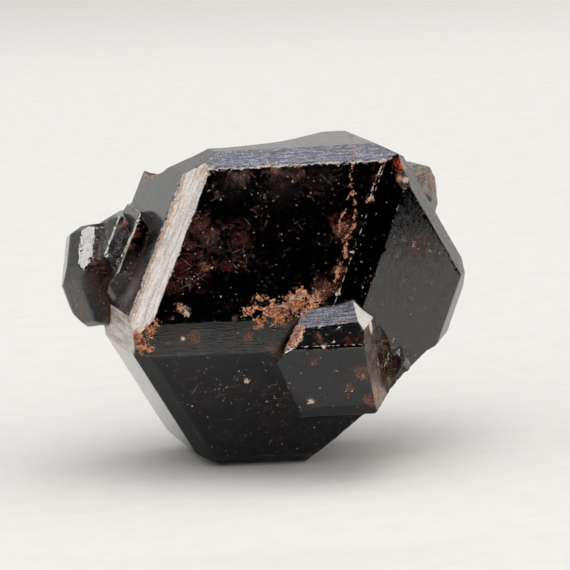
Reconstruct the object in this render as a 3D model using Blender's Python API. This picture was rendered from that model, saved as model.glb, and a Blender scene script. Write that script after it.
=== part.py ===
"""A garnet crystal with smaller crystals grown into it, as one closed solid.

The crystal is a rhombic dodecahedron, drawn out along one edge direction. Each of its edges is cut by a
narrow strip of the trapezohedron, so every crystal here is the common part of 36 half-spaces. The smaller
crystals are cut the same way and joined to the large one, and the broken places are taken off last.
Sizes are in millimetres, and turned into metres as they are used. +Z is up, and the crystal stands on its
bottom face, with the origin under the middle of its bounding box.
"""

import math

import bmesh
import bpy
from mathutils import Euler, Matrix, Vector, noise

MM = 0.001

# The twelve rhomb faces by Miller index, named by where they look when the crystal stands on its bottom face.
RHOMB_FACES = {
    "top": (0, 1, 1),
    "bottom": (0, -1, -1),
    "front_upper": (1, 1, 0),
    "front_lower": (1, 0, -1),
    "left_upper": (1, 0, 1),
    "left_lower": (1, -1, 0),
    "left": (0, -1, 1),
    "right": (0, 1, -1),
    "right_upper": (-1, 1, 0),
    "right_lower": (-1, 0, -1),
    "back_upper": (-1, 0, 1),
    "back_lower": (-1, -1, 0),
}

# Crystal axes in the standing position: the top face is level and the two front faces look along -Y.
STANDING = Matrix((
    Vector((-1, 1, -1)).normalized(),
    Vector((-2, -1, 1)).normalized(),
    Vector((0, 1, 1)).normalized(),
))

# The large crystal: distance of each rhomb face from its centre, and the width of the strips on its edges.
MAIN_CRYSTAL = dict(
    centre=(0, 0, 0),
    turn=(0, 0, 0),
    faces=dict(
        top=12.0, bottom=22.0, front_upper=12.0, front_lower=18.3, left_upper=12.0, left_lower=18.1,
        left=17.5, right=18.9, right_upper=17.9, right_lower=21.3, back_upper=14.5, back_lower=15.0,
    ),
    strip=3.0,
    strips={
        ("front_upper", "left_upper"): 3.7,
        ("front_upper", "front_lower"): 3.9,
        ("left_upper", "top"): 4.4,
        ("left_upper", "left_lower"): 4.0,
        ("left_upper", "left"): 2.2,
        ("left_lower", "left"): 8.0,
        ("front_lower", "left_lower"): 2.6,
        ("front_lower", "bottom"): 2.6,
    },
)

# The smaller crystals: centre, turn about X, Y and Z in degrees, face distances and strip widths. Contact
# faces, which are not crystal faces, are (azimuth, elevation, distance), with azimuth 0 along -Y.
SIDE_CRYSTALS = dict(
    front_crystal=dict(
        centre=(9.8, -18.7, -8.9),
        turn=(-19.6, 0.6, 1.1),
        faces=dict(
            top=9.0, bottom=7.5, front_upper=4.2, front_lower=3.7, left_upper=5.1, left_lower=6.6,
            left=9.0, right=6.2, right_upper=9.0, right_lower=9.0, back_upper=11.0, back_lower=11.0,
        ),
        strip=1.2,
        strips={
            ("front_upper", "top"): 0.3,
            ("front_upper", "front_lower"): 0.3,
            ("front_lower", "left_lower"): 3.2,
            ("front_lower", "bottom"): 4.5,
        },
        contacts=((-7.5, 75.3, 4.3), (88, 5, 4.15), (88, 40, 5.1), (-81, -21, 5.5), (0, -83, 5.9)),
    ),
    left_ridge_crystal=dict(
        centre=(-14.8, -1.8, 0.8),
        turn=(0.0, 0.0, 0.0),
        faces=dict(
            top=5.5, bottom=7.6, front_upper=4.8, front_lower=5.9, left_upper=0.7, left_lower=3.6,
            left=4.0, right=6.0, right_upper=6.0, right_lower=6.0, back_upper=6.0, back_lower=6.0,
        ),
        strip=1.0,
        strips={("front_upper", "left_upper"): 0.3, ("front_upper", "front_lower"): 0.3},
        contacts=((101.6, 22.2, 4.28),),
    ),
    left_middle_crystal=dict(
        centre=(-14.8, -1.8, 0.8),
        turn=(0.0, 0.0, 0.0),
        faces=dict(
            top=4.6, bottom=5.4, front_upper=4.72, front_lower=5.3, left_upper=2.8, left_lower=4.7,
            left=3.7, right=5.2, right_upper=5.1, right_lower=5.3, back_upper=5.2, back_lower=5.4,
        ),
        strip=1.0,
        strips={},
        contacts=(
            (-17.1, 33.9, 4.07), (-53.4, 33.9, 3.13), (-58.1, -23.9, 2.69), (101.6, 22.2, 2.6),
            (-95.8, 61.9, 4.06),
        ),
    ),
    left_outer_crystal=dict(
        centre=(-18.5, -2.6, 0.4),
        turn=(-10.5, -0.5, 25.7),
        faces=dict(
            top=3.9, bottom=7.1, front_upper=3.7, front_lower=4.35, left_upper=2.2, left_lower=3.35,
            left=2.8, right=5.0, right_upper=6.0, right_lower=7.0, back_upper=6.0, back_lower=7.0,
        ),
        strip=1.1,
        strips={
            ("front_upper", "left_upper"): 1.7,
            ("left_upper", "left_lower"): 1.7,
            ("left_upper", "left"): 3.4,
        },
        contacts=((-95, 57, 3.3), (-90, -41, 5.0)),
    ),
    right_crystal=dict(
        centre=(16.4, 4.5, 5.2),
        turn=(15.0, -12.0, 35.0),
        faces={name: 3.3 + 0.03 * number for number, name in enumerate(RHOMB_FACES)},
        strip=1.8,
        strips={},
        contacts=(),
    ),
    foot_crystal=dict(
        centre=(15.0, -9.8, -11.2),
        turn=(30.0, 18.0, -8.0),
        faces={name: 1.8 + 0.02 * number for number, name in enumerate(RHOMB_FACES)},
        strip=0.6,
        strips={},
        contacts=(),
    ),
)

# Rough breaks, taken off the joined crystals: where each looks, how far out it lies and how uneven it is.
FOOT_BREAK = dict(azimuth=90, elevation=-51, distance=20.2, width=46.0, cells=36, relief=0.7)
TOP_SCOOP = dict(centre=(-5.6, 13.0, 21.0), radii=(16.7, 19.6, 14.7), tilt=6.0, relief=0.7, fineness=5)
CHIPS = dict(
    hollow_by_foot=dict(
        centre=(15.0, -13.1, -10.0), radii=(1.5, 2.0, 3.6), tilt=-8.0, relief=0.35, grain=2.0,
    ),
    upper_right_chip=dict(centre=(17.6, -7.7, 8.3), radii=(1.0, 0.8, 0.9), relief=0.2, grain=4.0),
    lower_left_chip=dict(centre=(-11.9, -16.9, -6.1), radii=(1.0, 0.9, 1.7), relief=0.2, grain=4.0),
)
# Crusts that sit in the corner above the front band, as rough egg shapes joined on.
CRUSTS = dict(
    crust_left=dict(centre=(4.2, -15.8, -4.4), radii=(1.7, 0.8, 1.0), relief=0.3, grain=4.0),
    crust_right=dict(centre=(6.3, -15.4, -3.6), radii=(1.6, 0.8, 1.2), relief=0.3, grain=4.0),
    crumb=dict(centre=(-6.1, -15.6, -3.5), radii=(0.8, 0.5, 0.5), relief=0.15, grain=6.0),
)


def clear_scene():
    for obj in list(bpy.data.objects):
        bpy.data.objects.remove(obj, do_unlink=True)


def direction(azimuth, elevation):
    """A unit vector that looks along -Y at azimuth 0 and along +X at azimuth 90."""
    turn, lift = math.radians(azimuth), math.radians(elevation)
    return Vector((math.sin(turn) * math.cos(lift), -math.cos(turn) * math.cos(lift), math.sin(lift)))


def face_planes(faces, strip, strips):
    """Normals in the standing position and distances of the rhomb faces and of the strips between them."""
    planes = [(STANDING @ Vector(RHOMB_FACES[name]).normalized(), away) for name, away in faces.items()]
    names = list(RHOMB_FACES)
    for number, first in enumerate(names):
        for second in names[number + 1:]:
            one, other = Vector(RHOMB_FACES[first]), Vector(RHOMB_FACES[second])
            if one.dot(other) != 1:
                continue
            width = strips.get((first, second), strips.get((second, first), strip))
            corner = (faces[first] + faces[second]) / math.sqrt(3)
            cut = width / (2 * math.tan(math.radians(60)))
            planes.append((STANDING @ (one + other).normalized(), corner - cut))
    return planes


def new_object(name, bm):
    mesh = bpy.data.meshes.new(name)
    bmesh.ops.recalc_face_normals(bm, faces=bm.faces)
    bm.to_mesh(mesh)
    bm.free()
    obj = bpy.data.objects.new(name, mesh)
    bpy.context.scene.collection.objects.link(obj)
    return obj


def cut_crystal(name, centre, turn, faces, strip, strips, contacts=()):
    """One crystal, cut out of a block by its face planes."""
    rotation = Euler([math.radians(angle) for angle in turn]).to_matrix()
    planes = [(rotation @ normal, away) for normal, away in face_planes(faces, strip, strips)]
    planes += [(direction(azimuth, elevation), away) for azimuth, elevation, away in contacts]
    bm = bmesh.new()
    bmesh.ops.create_cube(bm, size=4 * max(faces.values()) * MM)
    for normal, away in planes:
        everything = bm.verts[:] + bm.edges[:] + bm.faces[:]
        bmesh.ops.bisect_plane(
            bm, geom=everything, plane_co=normal * away * MM, plane_no=normal, clear_outer=True
        )
        open_edges = [edge for edge in bm.edges if edge.is_boundary]
        if open_edges:
            bmesh.ops.edgeloop_fill(bm, edges=open_edges)
    bmesh.ops.translate(bm, verts=bm.verts, vec=Vector(centre) * MM)
    return new_object(name, bm)


def rough_height(point):
    """Uneven height of a break, from about -1 to 1: broad swells, and ledges that step across them."""
    swell = noise.fractal(point * 0.16, 0.9, 2.1, 3)
    ledges = math.floor(3 * noise.noise(point * 0.11 + Vector((7, 3, 5)))) / 3
    return 0.7 * swell + 0.5 * ledges


def rough_slab(name, azimuth, elevation, distance, width, cells, relief):
    """A thick slab whose inner side is the uneven surface that a break leaves."""
    normal = direction(azimuth, elevation)
    bm = bmesh.new()
    bmesh.ops.create_grid(bm, x_segments=cells, y_segments=cells, size=width / 2)
    for vert in bm.verts:
        vert.co.z = relief * rough_height(vert.co)
    outer = bmesh.ops.extrude_face_region(bm, geom=bm.faces[:])
    for item in outer["geom"]:
        if isinstance(item, bmesh.types.BMVert):
            item.co.z += width / 2
    turn = normal.to_track_quat("Z", "Y").to_matrix().to_4x4()
    bmesh.ops.transform(bm, matrix=Matrix.Translation(normal * distance) @ turn, verts=bm.verts)
    bmesh.ops.scale(bm, vec=(MM, MM, MM), verts=bm.verts)
    return new_object(name, bm)


def rough_egg(name, centre, radii, relief, tilt=0.0, grain=1.0, fineness=3):
    """An uneven egg shape: taken off it leaves a shell-like hollow, and joined on it is a crust."""
    bm = bmesh.new()
    bmesh.ops.create_icosphere(bm, subdivisions=fineness, radius=1)
    for vert in bm.verts:
        outward = vert.co.copy()
        place = Vector(component * radius for component, radius in zip(outward, radii))
        place += outward * relief * rough_height(place * grain)
        vert.co = place * MM
    turned = Matrix.Translation(Vector(centre) * MM) @ Matrix.Rotation(math.radians(tilt), 4, "Y")
    bmesh.ops.transform(bm, matrix=turned, verts=bm.verts)
    return new_object(name, bm)


def combine(target, operand, operation):
    """A Boolean of two bodies, worked out at once. The operand is then no longer needed."""
    change = target.modifiers.new(operand.name, "BOOLEAN")
    change.operation = operation
    change.solver = "EXACT"
    change.object = operand
    graph = bpy.context.evaluated_depsgraph_get()
    mesh = bpy.data.meshes.new_from_object(target.evaluated_get(graph))
    target.modifiers.clear()
    target.data = mesh
    bpy.data.objects.remove(operand, do_unlink=True)


def stand_at_origin(obj):
    """Puts the middle of the box's underside at the origin, and welds what the Booleans left touching."""
    bm = bmesh.new()
    bm.from_mesh(obj.data)
    bmesh.ops.remove_doubles(bm, verts=bm.verts, dist=0.002 * MM)
    bmesh.ops.dissolve_degenerate(bm, dist=0.002 * MM, edges=bm.edges)
    lowest = [min(vert.co[axis] for vert in bm.verts) for axis in range(3)]
    highest = [max(vert.co[axis] for vert in bm.verts) for axis in range(3)]
    middle = Vector(((lowest[0] + highest[0]) / 2, (lowest[1] + highest[1]) / 2, lowest[2]))
    bmesh.ops.translate(bm, verts=bm.verts, vec=-middle)
    bm.to_mesh(obj.data)
    bm.free()


def garnet_material():
    """Glassy, very dark red-brown."""
    material = bpy.data.materials.new("garnet")
    material.use_nodes = True
    shader = material.node_tree.nodes["Principled BSDF"]
    shader.inputs["Base Color"].default_value = (0.05, 0.012, 0.01, 1)
    shader.inputs["Roughness"].default_value = 0.12
    shader.inputs["Metallic"].default_value = 0.0
    shader.inputs["IOR"].default_value = 1.8
    return material


def main():
    clear_scene()
    crystal = cut_crystal("garnet_crystal", **MAIN_CRYSTAL)
    for name, made in SIDE_CRYSTALS.items():
        combine(crystal, cut_crystal(name, **made), "UNION")
    combine(crystal, rough_slab("foot_break", **FOOT_BREAK), "DIFFERENCE")
    combine(crystal, rough_egg("top_scoop", **TOP_SCOOP), "DIFFERENCE")
    for name, made in CHIPS.items():
        combine(crystal, rough_egg(name, **made), "DIFFERENCE")
    for name, made in CRUSTS.items():
        combine(crystal, rough_egg(name, **made), "UNION")
    stand_at_origin(crystal)
    crystal.data.materials.clear()
    crystal.data.materials.append(garnet_material())


main()
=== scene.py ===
"""Looks of a dark garnet crystal: faces, edges, breaks, iron stains and dust, on a pale floor in soft light.

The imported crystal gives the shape. Here its flat faces are cut into fine triangles, its edges are worn, its
broken places roughened, and the glassy material, the crusts and the dust are added. Lengths are metres in
the mesh and millimetres in the named values below.
"""
import math
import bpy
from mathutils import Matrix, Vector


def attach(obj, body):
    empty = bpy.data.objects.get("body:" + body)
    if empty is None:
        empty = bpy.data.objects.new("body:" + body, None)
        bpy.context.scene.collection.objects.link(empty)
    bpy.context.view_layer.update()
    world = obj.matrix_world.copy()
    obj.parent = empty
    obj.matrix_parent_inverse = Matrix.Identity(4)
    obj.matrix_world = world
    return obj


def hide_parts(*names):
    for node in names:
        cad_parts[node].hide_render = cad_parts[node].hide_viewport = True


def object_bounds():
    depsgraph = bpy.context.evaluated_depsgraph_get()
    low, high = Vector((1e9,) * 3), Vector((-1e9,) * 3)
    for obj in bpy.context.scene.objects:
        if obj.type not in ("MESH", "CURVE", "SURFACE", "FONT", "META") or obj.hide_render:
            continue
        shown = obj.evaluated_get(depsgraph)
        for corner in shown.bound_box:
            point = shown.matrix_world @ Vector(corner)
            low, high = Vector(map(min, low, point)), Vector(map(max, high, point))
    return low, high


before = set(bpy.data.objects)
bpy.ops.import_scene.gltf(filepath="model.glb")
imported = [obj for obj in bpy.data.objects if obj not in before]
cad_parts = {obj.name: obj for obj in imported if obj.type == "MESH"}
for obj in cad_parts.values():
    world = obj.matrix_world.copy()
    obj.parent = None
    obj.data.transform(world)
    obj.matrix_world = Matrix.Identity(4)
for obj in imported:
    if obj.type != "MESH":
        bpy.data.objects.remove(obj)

from types import SimpleNamespace

import bmesh
import bpy
import numpy as np
from bpy.props import FloatProperty, FloatVectorProperty, PointerProperty
from mathutils import Matrix, Vector, kdtree, noise
from mathutils.geometry import delaunay_2d_cdt

bl_info = {
    "name": "Garnet crystal",
    "version": (1, 0, 0),
    "blender": (4, 5, 0),
    "location": "View3D > Sidebar > Garnet",
    "description": "Fine surface, material, dust and studio for a dark garnet crystal",
    "category": "Object",
}

MM = 0.001
CAD_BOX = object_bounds()
BOX_ALLOWANCE = 0.01 * MM
NODE = "garnet_crystal"
MIDDLE = Vector((0.0, 0.0, 0.017))

# Gaps past this are not told apart, in mm.
FAR = 3.0
# A face under this area is a narrow one, in square mm, and carries points all over.
NARROW_FACE = 80.0
ALL_OVER = 9.0
# Noise features per mm, from the finest to the broadest, and of the loose grains.
GRIT, FINE, MIDDLING, BROAD, GRAINS = 9.0, 4.5, 1.5, 0.35, 3.6
# Width and length in mm of the drawn-out marks along a face's grain.
COMB, WIDE_COMB = (0.13, 1.6), (0.45, 5.0)
# Turns of the fine scratches from a face's grain, in degrees.
SCRATCH_TURNS = (24.0, -47.0, 79.0)
# Roughness of the coats.
SATIN, MATT, DUSTY, EARTHEN = 0.45, 0.5, 0.62, 0.75

# Places on the crystal, in mm: x, y, z, radius and, where it isn't 1, strength.
CRUSTS = ((3.4, -12.5, 17.6, 5.0, 1.3), (5.5, -12.1, 18.4, 5.0, 1.3), (-6.95, -12.25, 18.5, 2.0, 0.7))
RUST_SPOTS = (
    (3.4, -12.5, 17.6, 2.2), (5.5, -12.1, 18.4, 2.2), (0.8, -12.4, 18.7, 1.1), (1.6, -12.0, 19.3, 0.8),
    (0.1, -12.8, 18.2, 1.1), (1.3, -13.0, 17.0, 1.1), (-7.3, -12.2, 19.0, 0.6),
    (-6.6, -12.7, 18.3, 0.5), (-11.9, -13.0, 15.9, 1.5), (-11.4, -13.0, 14.8, 1.3),
    (-10.6, -13.0, 16.6, 1.0), (-9.9, -13.0, 17.6, 0.7), (5.9, -14.9, 17.3, 0.7),
    (5.4, -16.1, 16.6, 1.0), (5.0, -17.5, 15.9, 1.0), (4.7, -18.7, 15.2, 0.9),
    (5.2, -16.8, 16.2, 1.1, 1.2), (4.9, -18.2, 15.5, 1.0, 1.2), (10.4, -16.6, 17.3, 0.6),
    (13.1, -6.7, 28.7, 0.6), (6.9, -12.2, 19.0, 1.2), (16.3, -3.9, 30.5, 0.7),
    (2.5, -12.9, 18.2, 1.0, 1.7), (3.1, -12.8, 18.6, 0.9, 1.7), (4.9, -12.3, 19.4, 1.0, 1.7),
    (5.6, -12.2, 19.6, 1.0, 1.5), (4.4, -12.4, 19.1, 0.9, 1.7), (5.9, -17.4, 16.7, 0.8, 1.5),
    (5.7, -18.3, 16.0, 0.8, 1.5), (5.3, -18.9, 15.4, 0.8, 1.5), (13.3, -16.8, 9.3, 1.6, 0.75),
    (13.3, -13.2, 8.8, 1.8, 0.75), (13.4, -11.0, 12.0, 1.5, 0.6), (-11.9, 8.1, 30.5, 0.9),
    (-13.1, 11.2, 30.0, 1.3), (5.8, 10.9, 34.0, 1.1), (7.0, 10.9, 34.0, 0.9), (10.2, 6.1, 34.0, 0.7),
)
STAIN_SPOTS = (
    (-5.9, -13.0, 15.8, 1.6), (-7.1, -13.0, 15.6, 0.7), (-0.1, -13.0, 15.5, 1.2),
    (2.4, -13.0, 14.0, 1.3), (-1.5, -13.0, 17.6, 0.6), (-8.1, -12.9, 17.8, 0.6),
    (7.3, -12.0, 19.4, 1.9), (8.5, -11.6, 20.0, 1.6), (9.5, -11.3, 20.2, 1.2), (-4.5, -10.0, 22.8, 1.0),
    (2.8, -4.7, 32.1, 0.7), (16.3, -5.2, 23.9, 0.9), (17.3, -3.7, 23.3, 0.9), (18.9, -1.5, 18.5, 0.9),
    (15.6, -6.1, 22.4, 0.8), (10.8, -18.6, 10.5, 1.1), (7.3, -19.2, 13.5, 0.9), (13.1, -18.3, 9.0, 1.6),
    (13.4, -14.8, 10.2, 3.5), (9.9, -8.4, 25.7, 1.3), (10.4, -8.1, 26.2, 1.3), (10.6, -8.7, 25.0, 1.0),
    (9.6, -10.6, 21.8, 1.3), (-20.0, -0.3, 17.3, 1.5), (-16.1, -1.6, 21.0, 1.2),
    (12.4, -18.9, 12.0, 2.0), (6.1, 10.5, 33.9, 1.1), (7.9, 7.0, 34.0, 0.7), (7.8, -18.1, 16.3, 0.8),
    (8.2, -18.8, 15.8, 0.8), (8.6, -19.3, 15.2, 0.7), (10.4, -9.9, 23.1, 0.8), (4.6, -13.0, 14.6, 1.4),
)
# The two last, strongest tan spots reach the painted glare of the white facet.
TAN_SPOTS = (
    (-11.6, 7.5, 30.7, 0.5), (-12.2, 8.6, 30.3, 0.4, 1.2), (13.1, -6.7, 28.7, 0.35),
    (11.2, -9.6, 23.5, 0.3), (9.6, -11.9, 19.5, 0.4), (-6.6, -12.7, 18.3, 0.45),
    (16.7, -3.5, 30.1, 0.6), (-0.8, -11.1, 10.4, 0.3), (6.7, -18.4, 9.2, 0.5), (8.5, -19.4, 15.1, 0.35),
    (9.9, 2.7, 34.0, 0.35), (11.3, -0.5, 34.0, 0.35), (17.3, -3.7, 23.3, 0.35),
    (-7.1, -13.0, 15.6, 0.3), (-13.1, 12.0, 30.1, 0.8), (13.0, -12.9, 16.3, 1.4, 2.6),
    (12.6, -13.4, 17.4, 1.0, 2.4),
)
# Painted glow: places where light coming through thin corners is painted red.
PAINTED_GLOW_SPOTS = (
    (-5.2, -7.7, 26.9, 2.0), (-4.5, -8.4, 25.6, 2.4), (-6.4, -8.9, 24.8, 2.6), (-4.5, -10.0, 22.8, 2.0),
    (-7.1, -10.2, 22.5, 2.4), (-8.3, -10.9, 21.2, 2.0), (-2.2, -10.1, 22.7, 1.8),
    (-0.9, -8.4, 25.7, 2.2), (2.8, -4.7, 32.1, 1.6), (5.3, -5.0, 31.6, 1.6), (-0.8, -5.0, 31.4, 1.8),
    (13.7, -5.3, 31.0, 1.5), (9.9, -8.0, 26.2, 1.8), (9.9, -10.6, 21.8, 1.8), (7.8, -11.8, 20.0, 2.0),
    (16.2, -3.9, 31.9, 1.4), (11.3, -8.0, 26.6, 1.3), (11.2, -18.8, 15.6, 1.8), (17.4, -3.2, 22.6, 2.4),
    (16.5, -3.9, 31.0, 1.0), (-14.3, -1.3, 26.7, 1.1, 1.7), (-13.9, -2.0, 25.8, 0.8, 1.5),
    (-12.9, -2.1, 25.4, 1.1, 1.6), (-13.3, -2.9, 24.2, 0.9, 1.3), (-15.0, -1.9, 25.4, 0.9, 1.3),
    (16.4, -3.9, 31.8, 1.2, 2.0), (-15.6, -3.2, 23.0, 1.3, 1.1),
)
# Painted reflection: a grey coat where the lower left face and the top of the front face show the light.
PAINTED_REFLECTION_SPOTS = (
    (-13.4, -6.6, 19.8, 5.0, 0.7), (-12.9, -4.6, 22.0, 3.5, 0.4), (-1.4, -5.1, 31.3, 3.5, 0.22),
    (3.5, -5.6, 30.5, 4.0, 0.22), (7.8, -5.4, 30.8, 3.5, 0.2), (-3.5, -8.5, 25.4, 4.0, 0.1),
)
VEINS = (
    (
        (10.2, 6.1, 34.0), (10.6, 2.7, 34.0), (11.3, -0.7, 34.0), (11.4, -3.0, 33.3), (11.3, -4.8, 31.9),
        (11.1, -5.5, 30.6), (11.1, -6.2, 29.5), (10.8, -6.7, 28.6), (10.4, -7.2, 27.7), (9.9, -7.7, 26.8),
        (9.9, -8.4, 25.7),
    ),
    (
        (11.5, -6.3, 29.2), (11.5, -7.5, 27.2), (11.4, -8.2, 26.0), (10.6, -8.7, 25.0), (10.5, -9.2, 24.3),
        (10.4, -9.9, 23.1), (9.6, -10.4, 22.3), (9.5, -11.0, 21.1), (8.5, -11.6, 20.0), (7.3, -12.0, 19.4),
    ),
    ((17.8, 6.3, 30.0), (18.4, 6.4, 28.9), (18.9, 6.9, 27.4)),
)
RIDGES = (
    ((15.0, -4.4, 32.6), (14.4, -4.9, 31.8), (14.0, -5.3, 31.0), (13.6, -5.8, 30.2), (13.1, -6.7, 28.7)),
    ((-13.1, -0.3, 27.4), (-13.2, -2.1, 25.9), (-14.1, -3.2, 24.1), (-15.0, -3.9, 22.6)),
    ((14.9, -7.2, 13.7), (14.1, -7.7, 11.8), (13.7, -8.1, 10.6)),
    ((6.1, -17.6, 16.9), (6.1, -18.5, 16.0), (5.7, -19.0, 15.6), (4.5, -19.4, 14.6)),
)
HAIRLINES = (
    ((14.95, -4.44, 32.5), (9.13, -12.67, 18.25)), ((16.7, -4.6, 29.2), (15.2, -6.7, 25.6)),
    ((11.1, -11.42, 18.64), (12.07, -16.84, 17.26)),
)
CHIPPED_EDGES = (
    ((-7.4, -2.71, 31.8), (-13.07, -10.73, 17.9)),
    ((-6.9, -4.42, 32.5), (14.8, -4.42, 32.5)),
)

# Finishes of single faces: where the face looks, its place and reach in mm, and the strength of the finish.
# Frost is partly real frosting and partly painted reflection of the soft boxes, on the left faces above all;
# past strength 1 it paints the glare of the white facet.
FROST_AND_GLARE = (
    ((-35.3, 35.3), (-10.2, -10.1, 21.0), 8.0, 1.0),
    ((88.0, 40.0), (12.2, -13.4, 17.3), 3.0, 1.5),
    ((80.0, 16.8), (17.6, -2.5, 28.9), 6.0, 0.35),
    ((-70.5, 0.0), (-14.1, -8.0, 15.6), 4.0, 0.95),
    ((23.3, 43.8), (16.9, 6.0, 29.7), 2.0, 0.45),
    ((31.8, 14.7), (17.6, 5.3, 28.1), 2.0, 0.4),
    ((62.0, 9.2), (18.6, 6.5, 28.1), 2.0, 0.35),
    ((-2.8, 70.9), (15.6, 6.8, 30.3), 2.0, 0.6),
    ((-70.5, 30.0), (-12.0, -3.5, 25.0), 9.0, 0.08),
    ((-35.3, 35.3), (-13.7, -2.7, 24.9), 2.0, 0.35),
)
# Painted sheen: a blue-grey coat with painted glints where the narrow upper faces show the back soft box.
SHEEN = (
    ((0.0, 60.0), (5.4, -3.3, 33.2), 6.0, 1.0),
    ((-7.5, 75.3), (8.4, -14.5, 17.7), 4.0, 1.0),
    ((-70.5, 60.0), (-6.9, 1.6, 32.9), 5.0, 0.3),
)
EARTHY = (
    ((88.0, 5.0), (13.4, -12.4, 10.5), 6.0, 1.0),
    ((25.3, 40.5), (-17.0, -1.7, 24.4), 2.0, 0.9),
    ((25.6, 10.5), (-17.5, -3.2, 22.5), 2.0, 0.8),
    ((26.0, -19.5), (-16.7, -1.9, 19.3), 2.0, 0.5),
    ((23.3, 43.8), (16.9, 6.0, 29.7), 2.0, 0.9),
    ((62.0, 9.2), (18.6, 6.5, 28.1), 2.0, 0.9),
    ((31.8, 14.7), (17.6, 5.3, 28.1), 2.0, 0.9),
    ((-2.8, 70.9), (15.6, 6.8, 30.3), 2.0, 0.6),
)
CLEAN = (
    ((-17.1, 33.9), (-14.8, -2.0, 25.5), 2.0, 1.0),
    ((0.0, 30.0), (-13.0, -3.1, 24.3), 2.0, 0.4),
    ((29.5, 16.8), (13.3, -8.1, 25.0), 7.0, 1.0),
    ((0.0, 0.0), (-3.0, -13.0, 15.7), 7.0, 0.5),
    ((0.0, -30.0), (-3.0, -10.0, 8.0), 9.0, 0.8),
    ((-35.3, -35.3), (-11.0, -8.0, 8.0), 9.0, 0.8),
    ((1.0, -10.4), (9.2, -19.0, 12.7), 3.0, 0.5),
)


def direction(azimuth, elevation):
    """A unit vector that looks along -Y at azimuth 0 and along +X at azimuth 90."""
    turn, lift = math.radians(azimuth), math.radians(elevation)
    return Vector((math.sin(turn) * math.cos(lift), -math.cos(turn) * math.cos(lift), math.sin(lift)))


# ---------------------------------------------------------------- shader expressions


class Flow:
    """An output socket that Python's operators work on: each operation adds its Math or Vector Math node."""

    def __init__(self, shader, socket):
        self.shader = shader
        self.socket = socket

    @property
    def is_vector(self):
        return self.socket.type in ("VECTOR", "RGBA")

    def combine(self, operation, other, swapped=False):
        first, second = (other, self) if swapped else (self, other)
        vector = self.is_vector or (isinstance(other, Flow) and other.is_vector)
        if vector:
            first, second = (
                value if isinstance(value, Flow) or hasattr(value, "__len__") else (value, value, value)
                for value in (first, second)
            )
        kind = "ShaderNodeVectorMath" if vector else "ShaderNodeMath"
        return self.shader.node(kind, {"operation": operation}, {0: first, 1: second})

    def __add__(self, other):
        return self.combine("ADD", other)

    def __radd__(self, other):
        return self.combine("ADD", other, swapped=True)

    def __sub__(self, other):
        return self.combine("SUBTRACT", other)

    def __rsub__(self, other):
        return self.combine("SUBTRACT", other, swapped=True)

    def __mul__(self, other):
        return self.combine("MULTIPLY", other)

    def __rmul__(self, other):
        return self.combine("MULTIPLY", other, swapped=True)

    def at_most(self, other):
        return self.combine("MINIMUM", other)

    def at_least(self, other):
        return self.combine("MAXIMUM", other)

    def power(self, other):
        return self.combine("POWER", other)

    def __neg__(self):
        return self.combine("MULTIPLY", -1.0)

    def dot(self, other):
        return self.shader.node(
            "ShaderNodeVectorMath", {"operation": "DOT_PRODUCT"}, {0: self, 1: other}, output="Value"
        )

    def scaled(self, factor):
        return self.shader.node("ShaderNodeVectorMath", {"operation": "SCALE"}, {0: self, "Scale": factor})

    def parts(self):
        """The three numbers of a vector, each as a flow."""
        split = self.shader.tree.nodes.new("ShaderNodeSeparateXYZ")
        self.shader.tree.links.new(self.socket, split.inputs[0])
        return [Flow(self.shader, socket) for socket in split.outputs]

    def ramp(self, low, high, start=0.0, end=1.0):
        """Runs smoothly from start at low to end at high."""
        return self.shader.node(
            "ShaderNodeMapRange",
            {"interpolation_type": "SMOOTHSTEP"},
            {"Value": self, "From Min": low, "From Max": high, "To Min": start, "To Max": end},
        )


class Shader:
    """One material or world, and the nodes that are added to it."""

    def __init__(self, owner):
        self.owner = owner
        owner.use_nodes = True
        self.tree = owner.node_tree
        self.tree.nodes.clear()

    def node(self, kind, settings=None, inputs=None, output=0):
        """Adds a node: its settings first, then its sockets' values or links. Gives one of its outputs."""
        made = self.tree.nodes.new(kind)
        for name, value in (settings or {}).items():
            setattr(made, name, value)
        for name, value in (inputs or {}).items():
            if isinstance(value, Flow):
                self.tree.links.new(value.socket, made.inputs[name])
            else:
                made.inputs[name].default_value = value
        return Flow(self, made.outputs[output])

    def mix(self, under, over, factor):
        """Colour over on colour under."""
        made = self.tree.nodes.new("ShaderNodeMix")
        made.data_type = "RGBA"
        for socket, value in ((0, factor), (6, under), (7, over)):
            if isinstance(value, Flow):
                self.tree.links.new(value.socket, made.inputs[socket])
            else:
                made.inputs[socket].default_value = value if socket == 0 else (*value[:3], 1.0)
        return Flow(self, made.outputs[2])

    def noise(self, place, scale, detail, roughness):
        return self.node(
            "ShaderNodeTexNoise",
            inputs={"Vector": place, "Scale": scale, "Detail": detail, "Roughness": roughness},
        )

    def attribute(self, name, output):
        return self.node("ShaderNodeAttribute", {"attribute_name": name}, output=output)

    def channels(self, name):
        """The three numbers that a mesh stores under one name."""
        parts = self.tree.nodes.new("ShaderNodeSeparateColor")
        self.tree.links.new(self.attribute(name, "Color").socket, parts.inputs[0])
        return [Flow(self, socket) for socket in parts.outputs]

    def bump(self, height, strength, distance, normal=None):
        inputs = {"Height": height, "Strength": strength, "Distance": distance}
        if normal:
            inputs["Normal"] = normal
        return self.node("ShaderNodeBump", inputs=inputs)

    def output(self, kind="ShaderNodeOutputMaterial", **inputs):
        end = self.tree.nodes.new(kind)
        for name, flow in inputs.items():
            self.tree.links.new(flow.socket, end.inputs[name])
        return self.owner


# ---------------------------------------------------------------- the crystal's surface


def whole_faces():
    """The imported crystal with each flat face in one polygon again."""
    bm = bmesh.new()
    bm.from_mesh(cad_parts[NODE].data)
    bmesh.ops.remove_doubles(bm, verts=bm.verts, dist=0.0002 * MM)
    bmesh.ops.dissolve_limit(
        bm, angle_limit=math.radians(0.4), use_dissolve_boundaries=False, verts=bm.verts, edges=bm.edges
    )
    bm.normal_update()
    for group in (bm.verts, bm.edges, bm.faces):
        group.index_update()
    return bm


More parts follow.
